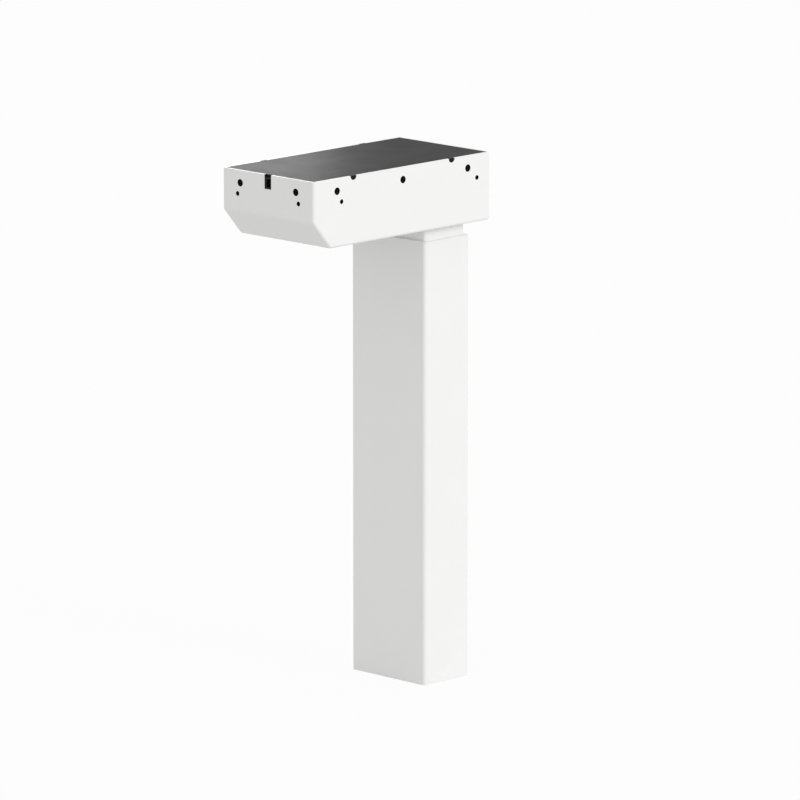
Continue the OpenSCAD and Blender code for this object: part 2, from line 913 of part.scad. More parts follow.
module head_bolts() {
    color("silver")
        at_corners(head_bolt_x, head_bolt_y)
            cap_screw(m6_core, m6_head_r, m6_head_h, floor_z + bolt_end_gap, plate_top);
}

// ---- Gearbox ----

// Copies its child to the four bolts of the gearbox
module case_bolt_places() {
    for (x = [case_bolt_x0, case_bolt_x1], y = [case_y0 + case_bolt_inset, case_y1 - case_bolt_inset])
        translate([x, y, 0])
            children();
}

module case_plan() {
    translate([(case_back - case_front) / 2, (case_y0 + case_y1) / 2])
        rounded_rect(case_front + case_back, case_y1 - case_y0, case_corner);
}

// Spaces that both halves of the gearbox are hollowed by
module case_hollows() {
    post(chamber_r, gear_z - chamber_h / 2, gear_z + chamber_h / 2);
    axle(worm_channel_r, can_front + bush_l, worm_bush_x0);
    axle(bush_r, can_front - 1, can_front + bush_l + eps);
    axle(bush_r, worm_bush_x0 - eps, worm_bush_x0 + bush_l);
    for (s = [-1, 1])
        translate([0, 0, s * through_bolt_offset])
            axle(m4_core, can_front - 1, can_front + through_thread_l + 1);
    case_bolt_places()
        post(m5_hole, floor_top, case_top + 1);
}

module gearbox_lower() {
    color("darkgray")
        difference() {
            translate([0, 0, plate_top])
                linear_extrude(gear_z - plate_top)
                    case_plan();
            case_hollows();
            post(lower_bearing_r, plate_top - 1, lower_bearing_top);
            post(hub_r + gear_clearance, plate_top, gear_z);
        }
}

module gearbox_upper() {
    color("darkgray")
        difference() {
            translate([0, 0, gear_z])
                linear_extrude(case_upper_h)
                    case_plan();
            case_hollows();
            post(upper_bearing_r, gear_z, upper_bearing_top);
            post(top_journal_r + circlip_rim + gear_clearance, gear_z, spindle_top + gear_clearance);
            case_bolt_places()
                post(m5_head_r + head_gap, case_top - m5_head_h, case_top + 1);
        }
}

module gearbox_bolts() {
    color("gray")
        case_bolt_places()
            cap_screw(m5_core, m5_head_r, m5_head_h, floor_top + bolt_end_gap, case_top - m5_head_h);
}

// ---- Spindle bearings ----

module lower_bearing_outer() {
    color("silver")
        bearing_ring(lower_pitch_r + lower_land, lower_bearing_r, lower_pitch_r, lower_ball_r,
            plate_top, lower_bearing_w);
}

module lower_bearing_balls() {
    color("silver")
        bearing_balls(lower_pitch_r, lower_ball_r, lower_balls, plate_top, lower_bearing_w);
}

module lower_bearing_inner() {
    color("silver")
        bearing_ring(journal_r, lower_pitch_r - lower_land, lower_pitch_r, lower_ball_r,
            plate_top, lower_bearing_w);
}

module upper_bearing_outer() {
    color("silver")
        bearing_ring(upper_pitch_r + upper_land, upper_bearing_r, upper_pitch_r, upper_ball_r,
            upper_bearing_bottom, upper_bearing_w);
}

module upper_bearing_balls() {
    color("silver")
        bearing_balls(upper_pitch_r, upper_ball_r, upper_balls, upper_bearing_bottom, upper_bearing_w);
}

module upper_bearing_inner() {
    color("silver")
        bearing_ring(top_journal_r, upper_pitch_r - upper_land, upper_pitch_r, upper_ball_r,
            upper_bearing_bottom, upper_bearing_w);
}

// ---- Motor, fixed parts ----

module front_bush() {
    color("darkgoldenrod")
        axle_ring(bush_r, shaft_r + bush_clearance, can_front, can_front + bush_l);
}

module worm_end_bush() {
    color("darkgoldenrod")
        axle_ring(bush_r, shaft_r + bush_clearance, worm_bush_x0, worm_bush_x0 + bush_l);
}

module rear_bush() {
    color("darkgoldenrod")
        axle_ring(bush_r, shaft_r + bush_clearance, cap_back, can_back);
}

module motor_can() {
    color("dimgray")
        axle_ring(motor_r, can_bore_r, can_back, can_front);
}

// Wedge of the given half angle about the motor's axis, opening along Y
module side_wedge(half_angle, r, x0, x1) {
    translate([x0, worm_y, gear_z])
        rotate([90, 0, 90])
            linear_extrude(x1 - x0)
                polygon([[0, 0], [r * cos(half_angle), -r * sin(half_angle)], [2 * r, 0],
                    [r * cos(half_angle), r * sin(half_angle)]]);
}

module motor_magnets() {
    x0 = core_back - magnet_overhang;
    color([0.2, 0.2, 0.22])
        for (s = [0, 1])
            intersection() {
                axle_ring(can_bore_r, magnet_in_r, x0, x0 + magnet_l);
                translate([0, worm_y, gear_z])
                    rotate([180 * s, 0, 0])
                        translate([0, -worm_y, -gear_z])
                            side_wedge(magnet_half_angle, 2 * motor_r, x0 - 1, x0 + magnet_l + 1);
            }
}

module motor_end_cap() {
    guide_l = brush_w + 2 * (brush_guide_wall + brush_play);
    guide_y = brush_out_r + spring_l + brush_guide_wall;
    guide_h = brush_w + 2 * brush_guide_wall;
    color([0.13, 0.13, 0.14])
        difference() {
            union() {
                axle(motor_r, cap_back, can_back);
                axle(can_bore_r, can_back - eps, can_back + cap_spigot);
                intersection() {
                    translate([can_back, worm_y - guide_y, gear_z - guide_h / 2])
                        cube([commutator_back - can_back + guide_l, 2 * guide_y, guide_h]);
                    axle(can_bore_r, can_back, can_front);
                }
                board_places()
                    axle(board_post_r, board_x, cap_back + eps);
            }
            axle(bush_r, cap_back - 1, can_back + eps);
            axle(commutator_r + 2, can_back, commutator_back + guide_l + 1);
            translate([brush_x0 - brush_play, worm_y - guide_y + brush_guide_wall, gear_z - brush_w / 2])
                cube([brush_w + 2 * brush_play, 2 * (guide_y - brush_guide_wall), brush_w]);
            for (s = [-1, 1])
                translate([0, 0, s * through_bolt_offset])
                    axle(m4_hole, cap_back - 1, can_back + cap_spigot + 1);
            board_places()
                axle(m2_core, board_x - 1, board_x + board_screw_l + 1);
        }
}

// Copies its child to the four screws of the sensor board
module board_places() {
    for (sy = [-1, 1], sz = [-1, 1])
        translate([0, sy * board_post_y, sz * board_post_z])
            children();
}

module through_bolts() {
    color("silver")
        for (s = [-1, 1])
            translate([0, 0, s * through_bolt_offset]) {
                axle(m4_core, cap_back - eps, can_front + through_thread_l);
                difference() {
                    axle(m4_head_r, cap_back - m4_head_h, cap_back);
                    translate([cap_back - m4_head_h - 1, worm_y, gear_z])
                        rotate([0, 90, 0])
                            cylinder(r = m4_socket_r, h = m4_head_h / 2 + 1, $fn = 6);
                }
            }
}

module carbon_brushes() {
    brush_h = brush_w - 2 * brush_play;
    color([0.25, 0.25, 0.27])
        difference() {
            for (s = [-1, 1])
                translate([brush_x0, worm_y + (s > 0 ? 0 : -brush_out_r), gear_z - brush_h / 2])
                    cube([brush_w, brush_out_r, brush_h]);
            axle(commutator_r + brush_gap, brush_x0 - 1, brush_x0 + brush_w + 1);
        }
}

module brush_springs() {
    color("silver")
        for (start = [brush_out_r, -brush_out_r - spring_l])
            translate([brush_x0 + brush_w / 2, worm_y + start, gear_z])
                rotate([-90, 0, 0])
                    ring(spring_r, spring_r - spring_wire, 0, spring_l);
}

module sensor_board() {
    color("darkgreen")
        difference() {
            translate([board_back, worm_y - board_y / 2, gear_z - board_z / 2 + board_drop])
                cube([board_t, board_y, board_z]);
            board_places()
                axle(board_hole_r, board_back - 1, board_x + 1);
            for (s = [-1, 1])
                translate([0, s * lead_offset, lead_z - gear_z])
                    axle(lead_r + lead_clearance, board_back - 1, board_x + 1);
        }
}

module hall_sensors() {
    color("black")
        for (s = [-1, 1])
            translate([board_x, worm_y + s * sensor_offset - sensor_l / 2, gear_z - sensor_h / 2])
                cube([sensor_t, sensor_l, sensor_h]);
}

module board_screws() {
    color("silver")
        board_places() {
            axle(m2_core, board_back - eps, board_x + board_screw_l);
            axle(board_screw_r, board_back - board_screw_h, board_back);
        }
}

module motor_cradle() {
    cradle_top = gear_z - motor_r * cradle_wrap;
    color([0.12, 0.12, 0.12])
        difference() {
            translate([core_back, worm_y - cradle_w / 2, floor_top])
                cube([cradle_l, cradle_w, cradle_top - floor_top]);
            axle(motor_r + cradle_gap, core_back - 1, core_back + cradle_l + 1);
        }
}

// ---- Cable socket and leads ----

// Round lead from (x0, y0) to (x1, y1) at height z, with two quarter bends and a cross run at x_turn
module s_lead(r, x0, y0, x1, y1, x_turn, z) {
    b = lead_bend;
    translate([x_turn + b, y0, z])
        rotate([0, 90, 0])
            cylinder(r = r, h = x0 - x_turn - b);
    translate([x_turn + b, y0 + b, z])
        rotate([0, 0, 180])
            rotate_extrude(angle = 90)
                translate([b, 0])
                    circle(r);
    translate([x_turn, y0 + b, z])
        rotate([-90, 0, 0])
            cylinder(r = r, h = y1 - y0 - 2 * b);
    translate([x_turn - b, y1 - b, z])
        rotate_extrude(angle = 90)
            translate([b, 0])
                circle(r);
    translate([x1, y1, z])
        rotate([0, 90, 0])
            cylinder(r = r, h = x_turn - b - x1);
}

module power_leads() {
    color("firebrick")
        s_lead(lead_r, cap_back, worm_y + lead_offset, socket_back, lead_pitch / 2, red_turn, lead_z);
    color("black")
        s_lead(lead_r, cap_back, worm_y - lead_offset, socket_back, -lead_pitch / 2, black_turn, lead_z);
}

module signal_lead() {
    color("gray")
        s_lead(signal_r, board_back, worm_y, socket_back, 0, signal_turn, signal_z);
}

module cable_socket() {
    flange_w = slot_w + 2 * socket_flange;
    mouth_w = socket_nose_w - 2 * socket_wall;
    mouth_h = socket_top - socket_bottom - 2 * socket_wall;
    color([0.05, 0.05, 0.05])
        difference() {
            union() {
                translate([motor_end_x + socket_recess, -socket_nose_w / 2, socket_bottom])
                    cube([sheet_t, socket_nose_w, socket_top - socket_bottom]);
                translate([socket_x0, -flange_w / 2, socket_bottom - socket_flange])
                    cube([socket_l, flange_w, socket_top - socket_bottom + socket_flange]);
            }
            translate([motor_end_x - 1, -mouth_w / 2, socket_bottom + socket_wall])
                cube([socket_mouth + 1, mouth_w, mouth_h]);
        }
}

module socket_pins() {
    color("gold")
        for (sy = [-1, 1], i = [-1 : 1])
            translate([motor_end_x + socket_mouth - pin_l, (sy * pin_pitch_y - pin_w) / 2,
                (socket_bottom + socket_top - pin_w) / 2 + i * pin_pitch_z])
                cube([pin_l, pin_w, pin_w]);
}

// ---- Rotor ----

module motor_shaft() {
    color("silver")
        axle(shaft_r, shaft_back, sleeve_x0 + shaft_seat_l);
}

// Point at radius r and angle a
function polar(r, a) = [r * cos(a), r * sin(a)];

// Cross-section of the worm: one lobe for each start, its flanks straight in the axial plane
module worm_section() {
    steps = 4;
    function lobe_width(r) = tooth_thickness - 2 * (r - worm_pitch_r) * tan(pressure_angle);
    function lobe_angle(r) = 180 * lobe_width(r) / worm_lead;
    function flank_r(i) = worm_root_r + (worm_tip_r - worm_root_r) * i / steps;
    root_a = lobe_angle(worm_root_r);
    tip_a = lobe_angle(worm_tip_r);
    pitch_a = 360 / worm_starts;
    gap_a = pitch_a - 2 * root_a;
    gap_steps = worm_starts == 1 ? 10 : 4;
    polygon([
        for (s = [0 : worm_starts - 1])
            each concat(
                [for (i = [0 : steps]) polar(flank_r(i), s * pitch_a - lobe_angle(flank_r(i)))],
                [for (i = [1 : 3]) polar(worm_tip_r, s * pitch_a - tip_a + 2 * tip_a * i / 4)],
                [for (i = [steps : -1 : 0]) polar(flank_r(i), s * pitch_a + lobe_angle(flank_r(i)))],
                [for (i = [1 : gap_steps - 1])
                    polar(worm_root_r, s * pitch_a + root_a + gap_a * i / gap_steps)]
            )
    ]);
}

module worm() {
    turns = worm_l / worm_lead;
    color("silver")
        difference() {
            union() {
                translate([-worm_l / 2, worm_y, gear_z])
                    rotate([90, 0, 90])
                        rotate([0, 0, -180 * turns])
                            linear_extrude(worm_l, twist = -360 * turns,
                                slices = round(20 * turns), segments = 8)
                                worm_section();
                axle(sleeve_r, sleeve_x0, 0);
                axle(shaft_r, 0, worm_bush_x0 + bush_l);
            }
            axle(shaft_r, sleeve_x0 - 1, sleeve_x0 + shaft_seat_l + 1);
        }
}

module armature_core() {
    color([0.45, 0.45, 0.47])
        difference() {
            axle_ring(core_r, shaft_r, core_back, core_front);
            for (i = [0 : core_slots - 1])
                translate([0, worm_y, gear_z])
                    rotate([i * 360 / core_slots, 0, 0])
                        translate([0, -worm_y, -gear_z]) {
                            translate([0, 0, slot_circle])
                                axle(slot_r, core_back - 1, core_front + 1);
                            translate([core_back - 1, worm_y - slot_mouth / 2, gear_z + slot_circle])
                                cube([core_l + 2, slot_mouth, core_r]);
                        }
        }
}

module armature_windings() {
    color("chocolate") {
        for (i = [0 : core_slots - 1])
            translate([0, worm_y, gear_z])
                rotate([i * 360 / core_slots, 0, 0])
                    translate([0, -worm_y, -gear_z + slot_circle])
                        axle(slot_r - wire_gap, core_back - eps, core_front + eps);
        axle_ring(slot_circle + slot_r, shaft_r + 1, core_front, core_front + winding_overhang);
        axle_ring(slot_circle + slot_r, shaft_r + 1, core_back - winding_overhang, core_back);
    }
}

module commutator() {
    color("peru")
        difference() {
            axle_ring(commutator_r, shaft_r, commutator_back, commutator_back + commutator_l);
            for (i = [0 : core_slots - 1])
                translate([0, worm_y, gear_z])
                    rotate([i * 360 / core_slots, 0, 0])
                        translate([commutator_back - 1, -bar_gap / 2, commutator_r - bar_depth])
                            cube([commutator_l - 1, bar_gap, bar_depth + 1]);
        }
}

module sensor_magnet() {
    color([0.25, 0.25, 0.27])
        axle_ring(magnet_disc_r, shaft_r, shaft_back, shaft_back + magnet_disc_l);
}

// ---- Spindle ----

module spindle() {
    color("silver")
        difference() {
            union() {
                post(spindle_r, spindle_bottom, plate_top);
                post(collar_r, plate_top - collar_h, plate_top);
                post(journal_r, plate_top - eps, journal_top);
                post(top_journal_r, journal_top - eps, spindle_top);
            }
            post(m5_core, spindle_bottom - 1, spindle_bottom + stop_screw_l);
            translate([0, 0, upper_bearing_top])
                rotate_extrude()
                    translate([top_journal_r - groove_depth, 0])
                        square([2 * groove_depth, circlip_t]);
            translate([journal_r - key_w / 2, -key_w / 2, gear_z - key_l / 2])
                cube([key_w, key_w, key_l]);
        }
}

module wheel_hub() {
    color("gray")
        difference() {
            union() {
                post(hub_r, gear_z - wheel_face / 2, gear_z + wheel_face / 2);
                post(journal_r + hub_sleeve_t, lower_bearing_top, hub_top - hub_neck);
                post(neck_r, hub_top - hub_neck - eps, hub_top);
            }
            post(journal_r, lower_bearing_top - 1, journal_top);
            post(top_journal_r, journal_top - eps, hub_top + 1);
            translate([journal_r - key_w / 2, -key_w / 2, gear_z - key_l / 2])
                cube([key_w, key_w, key_l]);
        }
}

module wheel_key() {
    color("silver")
        translate([journal_r - key_w / 2, -key_w / 2, gear_z - key_l / 2])
            cube([key_w, key_w, key_l]);
}

// Cross-section of the wheel, a tooth space centred on +X
module wheel_section() {
    steps = 4;
    half_tooth = 90 * tooth_thickness / (PI * wheel_pitch_r);
    function involute(r) = tan(acos(wheel_base_r / r)) * 180 / PI - acos(wheel_base_r / r);
    start_r = max(wheel_base_r, wheel_root_r);
    pitch_inv = involute(wheel_pitch_r);
    function half_angle(r) = half_tooth + pitch_inv - involute(r);
    function flank_r(i) = start_r + (wheel_tip_r - start_r) * i / steps;
    polygon([
        for (t = [0 : wheel_teeth - 1])
            let (mid = (t + 0.5) * 360 / wheel_teeth)
                each concat(
                    [polar(wheel_root_r, mid - half_angle(start_r))],
                    [for (i = [0 : steps]) polar(flank_r(i), mid - half_angle(flank_r(i)))],
                    [for (i = [steps : -1 : 0]) polar(flank_r(i), mid + half_angle(flank_r(i)))],
                    [polar(wheel_root_r, mid + half_angle(start_r))]
                )
    ]);
}

module worm_wheel() {
    color("ivory")
        difference() {
            translate([0, 0, gear_z - wheel_face / 2])
                rotate([0, 0, -90 - wheel_twist / 2])
                    linear_extrude(wheel_face, twist = -wheel_twist, slices = 3, segments = 8)
                        wheel_section();
            post(hub_r, gear_z - wheel_face, gear_z + wheel_face);
        }
}

module shaft_circlip() {
    color("dimgray")
        translate([0, 0, upper_bearing_top])
            difference() {
                cylinder(r = top_journal_r + circlip_rim, h = circlip_t);
                translate([0, 0, -1])
                    cylinder(r = top_journal_r - groove_depth, h = circlip_t + 2);
                translate([0, -circlip_gap / 2, -1])
                    cube([2 * top_journal_r, circlip_gap, circlip_t + 2]);
            }
}

module end_stop_washer() {
    color("silver")
        ring(end_stop_r, m5_hole, spindle_bottom - end_stop_t, spindle_bottom);
}

module end_stop_screw() {
    color("gray")
        translate([0, 0, spindle_bottom - end_stop_t])
            mirror([0, 0, 1])
                cap_screw(m5_core, m5_head_r, stop_head_h, screw_reserve - end_stop_t - stop_screw_l, 0);
}

outer_tube();
base_plate();
end_buffers();
upper_guide();
nut_tube();
nut_tube_foot();
nut_tube_screw();
nut_collar();
spindle_nut();
nut_screws();
housing_shell();
weld_nuts();
top_lid();
head_plate();
head_bolts();
inner_tube();
lower_guide();
gearbox_lower();
gearbox_upper();
gearbox_bolts();
lower_bearing_outer();
lower_bearing_balls();
upper_bearing_outer();
upper_bearing_balls();
front_bush();
worm_end_bush();
rear_bush();
motor_can();
motor_magnets();
motor_end_cap();
through_bolts();
carbon_brushes();
brush_springs();
sensor_board();
hall_sensors();
board_screws();
motor_cradle();
power_leads();
signal_lead();
cable_socket();
socket_pins();
motor_shaft();
worm();
armature_core();
armature_windings();
commutator();
sensor_magnet();
spindle();
wheel_hub();
wheel_key();
worm_wheel();
lower_bearing_inner();
upper_bearing_inner();
shaft_circlip();
end_stop_washer();
end_stop_screw();
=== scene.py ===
import json
import math

import bmesh
import bpy
from mathutils import Matrix, Vector


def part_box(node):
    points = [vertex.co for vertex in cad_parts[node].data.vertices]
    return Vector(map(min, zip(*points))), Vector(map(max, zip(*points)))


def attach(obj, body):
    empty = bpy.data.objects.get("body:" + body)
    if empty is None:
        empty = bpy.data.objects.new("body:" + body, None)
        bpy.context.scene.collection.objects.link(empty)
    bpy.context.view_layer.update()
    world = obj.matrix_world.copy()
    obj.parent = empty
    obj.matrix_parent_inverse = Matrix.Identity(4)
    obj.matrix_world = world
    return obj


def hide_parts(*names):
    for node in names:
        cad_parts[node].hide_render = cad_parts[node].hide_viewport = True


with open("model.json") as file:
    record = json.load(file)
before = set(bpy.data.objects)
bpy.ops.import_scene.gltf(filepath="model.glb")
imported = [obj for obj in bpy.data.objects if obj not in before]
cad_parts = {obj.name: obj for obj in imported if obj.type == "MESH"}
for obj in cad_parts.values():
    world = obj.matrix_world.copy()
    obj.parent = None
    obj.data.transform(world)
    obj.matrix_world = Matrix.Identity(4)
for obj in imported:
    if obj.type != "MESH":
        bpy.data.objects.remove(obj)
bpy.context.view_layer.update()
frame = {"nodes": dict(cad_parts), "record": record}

# Camera
# A long lens about 8 m away looks at one corner of the standing column, a little from above,
# with the motor end on the left and a long side on the right.
camera_data = bpy.data.cameras.new("camera")
camera_data.sensor_width = 36
camera_data.lens = 342.64
camera_data.clip_end = 100
camera = bpy.data.objects.new("camera", camera_data)
camera.location = (-5.6194, -5.4617, 1.9033)
camera.rotation_euler = Vector((0.7015, 0.6837, -0.2012)).to_track_quat("-Z", "Y").to_euler()
bpy.context.collection.objects.link(camera)
bpy.context.scene.camera = camera
bpy.context.scene.view_settings.view_transform = "Standard"


# Studio
# A white floor and a white surround with soft light from all round, one broad lamp on the near
# long side, and a small panel behind the housing that only shows as a sheen on the lid.
MM = 0.001


def add_node(tree, kind, inputs=None, **settings):
    """Adds one shader node. An input is given a value, or is linked where a socket is given."""
    node = tree.nodes.new("ShaderNode" + kind)
    for name, value in settings.items():
        setattr(node, name, value)
    for name, value in (inputs or {}).items():
        if isinstance(value, bpy.types.NodeSocket):
            tree.links.new(value, node.inputs[name])
        else:
            node.inputs[name].default_value = value
    return node


def seen_by_eye(tree):
    """1 for rays from the camera, from a reflection or through glass, 0 for rays of plain light."""
    path = add_node(tree, "LightPath").outputs
    mirrored = add_node(tree, "Math", {0: path["Is Glossy Ray"], 1: path["Is Transmission Ray"]},
                        operation="MAXIMUM")
    return add_node(tree, "Math", {0: path["Is Camera Ray"], 1: mirrored.outputs[0]},
                    operation="MAXIMUM").outputs[0]


ambient_level = 0.82
world = bpy.data.worlds.new("studio")
world.use_nodes = True
tree = world.node_tree
tree.nodes.clear()
level = add_node(tree, "MapRange", {"Value": seen_by_eye(tree), "To Min": ambient_level, "To Max": 1})
surround = add_node(tree, "Background", {"Color": (1, 1, 1, 1), "Strength": level.outputs[0]})
add_node(tree, "OutputWorld", {"Surface": surround.outputs[0]})
bpy.context.scene.world = world

floor_reach = 9
floor_glow = 0.95
floor_paper = bpy.data.materials.new("floor_paper")
floor_paper.use_nodes = True
tree = floor_paper.node_tree
tree.nodes.clear()
paper = add_node(tree, "BsdfDiffuse", {"Color": (0.66, 0.66, 0.66, 1)})
glow = add_node(tree, "Emission", {"Color": (1, 1, 1, 1), "Strength": 1})
share = add_node(tree, "Math", {0: seen_by_eye(tree), 1: floor_glow}, operation="MULTIPLY")
floor_mix = add_node(tree, "MixShader", {0: share.outputs[0], 1: paper.outputs[0], 2: glow.outputs[0]})
# Seen from below, the floor is clear, so that the foot can be looked at.
below = add_node(tree, "NewGeometry").outputs["Backfacing"]
clear = add_node(tree, "BsdfTransparent")
one_sided = add_node(tree, "MixShader", {0: below, 1: floor_mix.outputs[0], 2: clear.outputs[0]})
add_node(tree, "OutputMaterial", {"Surface": one_sided.outputs[0]})
bm = bmesh.new()
bmesh.ops.create_grid(bm, x_segments=8, y_segments=8, size=floor_reach)
bmesh.ops.translate(bm, vec=(0, 0, -0.2 * MM), verts=bm.verts)
floor_mesh = bpy.data.meshes.new("floor")
bm.to_mesh(floor_mesh)
bm.free()
floor_mesh.materials.append(floor_paper)
floor = bpy.data.objects.new("floor", floor_mesh)
bpy.context.collection.objects.link(floor)

key_data = bpy.data.lights.new("key", "SUN")
key_data.energy = 1.02
key_data.angle = math.radians(25)
key = bpy.data.objects.new("key", key_data)
key.rotation_euler = Vector((-0.12, 1, -0.42)).to_track_quat("-Z", "Y").to_euler()
bpy.context.collection.objects.link(key)

sheen_data = bpy.data.lights.new("sheen", "AREA")
sheen_data.shape = "RECTANGLE"
sheen_data.size = 0.35
sheen_data.size_y = 0.25
sheen_data.energy = 1.05
sheen = bpy.data.objects.new("sheen", sheen_data)
sheen.location = (0.204, 0.569, 0.70)
sheen.rotation_euler = Vector((-0.38, -0.53, -0.15)).to_track_quat("-Z", "Y").to_euler()
sheen.visible_diffuse = False
bpy.context.collection.objects.link(sheen)


# Outer tube
# The standing stage: a rectangular steel tube with 2 mm walls and small corner radii, cold-drawn
# and welded, sawn square, deburred and powder-coated white. The base plate closes its foot.
def linear(code):
    """Linear colour of an sRGB hex value."""
    channels = [int(code[i:i + 2], 16) / 255 for i in (0, 2, 4)]
    return [c / 12.92 if c <= 0.04045 else ((c + 0.055) / 1.055) ** 2.4 for c in channels] + [1]


def new_material(name, metallic=0.0):
    """A material and its shader, with nothing set on it but whether it is a metal."""
    material = bpy.data.materials.new(name)
    material.use_nodes = True
    shader = material.node_tree.nodes["Principled BSDF"]
    shader.inputs["Metallic"].default_value = metallic
    return material, shader


def add_grain(material, shader, grain, depth, stretch=(1, 1, 1)):
    """Fine relief on a surface: bumps as wide as grain and about as high as depth."""
    tree = material.node_tree
    place = add_node(tree, "TexCoord").outputs["Object"]
    squeezed = add_node(tree, "Mapping", {"Vector": place, "Scale": stretch})
    relief = add_node(tree, "TexNoise", {"Vector": squeezed.outputs[0], "Scale": 1 / grain,
                                         "Detail": 2.0, "Roughness": 0.45})
    bump = add_node(tree, "Bump", {"Height": relief.outputs["Fac"], "Distance": depth,
                                   "Strength": 1.0})
    tree.links.new(bump.outputs[0], shader.inputs["Normal"])


def add_shades(material, shader, patch, dark, light, span):
    """Slow changes over a surface: two close colours, and roughness from span[0] to span[1]."""
    tree = material.node_tree
    place = add_node(tree, "TexCoord").outputs["Object"]
    cloud = add_node(tree, "TexNoise", {"Vector": place, "Scale": 1 / patch, "Detail": 3.0})
    tint = add_node(tree, "Mix", {0: cloud.outputs["Fac"], 6: linear(dark), 7: linear(light)},
                    data_type="RGBA")
    gloss = add_node(tree, "MapRange", {"Value": cloud.outputs["Fac"],
                                        "From Min": 0.3, "From Max": 0.7,
                                        "To Min": span[0], "To Max": span[1]})
    tree.links.new(tint.outputs[2], shader.inputs["Base Color"])
    tree.links.new(gloss.outputs[0], shader.inputs["Roughness"])


# Polyester powder coat: an even, half-gloss white with the faint orange peel of melted powder.
# The real ripples are about 1 mm wide; they are drawn at 1.6 mm so that they show.
powder_coat, shader = new_material("powder_coat_white")
add_shades(powder_coat, shader, 60 * MM, "F0F0EF", "F4F4F3", (0.38, 0.46))
add_grain(powder_coat, shader, 1.6 * MM, 0.012 * MM)


def rounded_face(bm, size_x, size_y, radius, z):
    """One flat face with round corners, centred over the origin at height z."""
    verts = bmesh.ops.create_grid(bm, x_segments=1, y_segments=1, size=0.5)["verts"]
    bmesh.ops.scale(bm, vec=(size_x, size_y, 1), verts=verts)
    bmesh.ops.translate(bm, vec=(0, 0, z), verts=verts)
    round_verts = bmesh.ops.bevel(bm, geom=verts, offset=radius, offset_type="OFFSET",
                                  affect="VERTICES", segments=6, profile=0.5,
                                  material=-1)["verts"]
    return round_verts[0].link_faces[0]


def verts_in(geometry):
    """The vertices among the mixed geometry that an operator gives back."""
    return [item for item in geometry if isinstance(item, bmesh.types.BMVert)]


def raise_faces(bm, faces, height):
    """Extrudes faces straight up."""
    made = bmesh.ops.extrude_face_region(bm, geom=faces)["geom"]
    bmesh.ops.translate(bm, vec=(0, 0, height), verts=verts_in(made))


sharp_angle = math.radians(50)


def break_edges(bm, width):
    """Rounds every edge that turns by more than the sharp angle."""
    sharp = [e for e in bm.edges if e.is_manifold and e.calc_face_angle() > sharp_angle]
    bmesh.ops.bevel(bm, geom=sharp, offset=width, offset_type="OFFSET", affect="EDGES",
                    segments=2, profile=0.5, material=-1, clamp_overlap=False, loop_slide=False)


smooth_angle = math.radians(40)


def make_piece(name, bm, material, body, replaced):
    """Object at the origin from a bmesh, smooth between its sharp edges, riding on a body."""
    bmesh.ops.recalc_face_normals(bm, faces=bm.faces)
    mesh = bpy.data.meshes.new(name)
    bm.to_mesh(mesh)
    bm.free()
    mesh.shade_smooth()
    mesh.set_sharp_from_angle(angle=smooth_angle)
    mesh.materials.append(material)
    piece = bpy.data.objects.new(name, mesh)
    bpy.context.collection.objects.link(piece)
    flats = piece.modifiers.new("flat_faces", "WEIGHTED_NORMAL")
    flats.keep_sharp = True
    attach(piece, body)
    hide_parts(replaced)
    return piece


def box_tube(bm, size_x, size_y, radius, wall, low, high):
    """Rectangular tube with round corners, standing between two heights."""
    outline = rounded_face(bm, size_x, size_y, radius, low)
    rim = bmesh.ops.inset_region(bm, faces=[outline], thickness=wall, use_boundary=True,
                                 use_even_offset=True)["faces"]
    bmesh.ops.delete(bm, geom=[outline], context="FACES_ONLY")
    raise_faces(bm, rim, high - low)


tube_wall = 2 * MM
outer_low, outer_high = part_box("outer_tube")
outer_radius = 4 * MM
bm = bmesh.new()
box_tube(bm, outer_high.x - outer_low.x, outer_high.y - outer_low.y, outer_radius, tube_wall,
         outer_low.z, outer_high.z)
break_edges(bm, 0.1 * MM)
make_piece("outer_column", bm, powder_coat, "base", "outer_tube")

# Inner tube
# The moving stage: a smaller tube of the same steel and coat, which slides in the guides. Its
# head is welded to the head plate, and only 15 mm of it show when it is lowered.
inner_low, inner_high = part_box("inner_tube")
inner_radius = 3 * MM
bm = bmesh.new()
box_tube(bm, inner_high.x - inner_low.x, inner_high.y - inner_low.y, inner_radius, tube_wall,
         inner_low.z, inner_high.z)
break_edges(bm, 0.35 * MM)
make_piece("inner_column", bm, powder_coat, "head", "inner_tube")

# Housing
# Open-topped box of 2.5 mm sheet steel over motor and gearbox, bent up, welded at its corners,
# ground flush and powder-coated white. The head bolts pull its floor up against the head plate.
housing_low, housing_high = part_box("housing_shell")
sheet = 2.5 * MM
bend_radius = 3 * MM
slope_length = 24.5 * MM
slope_height = 28.5 * MM
middle_x = (housing_low.x + housing_high.x) / 2


def hole_bar(bm, centre, axis, radius, length, steps=48):
    """Round bar through a centre along an axis, as a cutter for holes."""
    turn = Vector(axis).to_track_quat("Z", "Y").to_matrix().to_4x4()
    bmesh.ops.create_cone(bm, cap_ends=True, segments=steps, radius1=radius, radius2=radius,
                          depth=length, matrix=Matrix.Translation(centre) @ turn)


def block(bm, low, high):
    """Plain block between two corners, as a cutter."""
    low, high = Vector(low), Vector(high)
    place = Matrix.Translation((low + high) / 2) @ Matrix.Diagonal((*(high - low), 1))
    bmesh.ops.create_cube(bm, size=1, matrix=place)


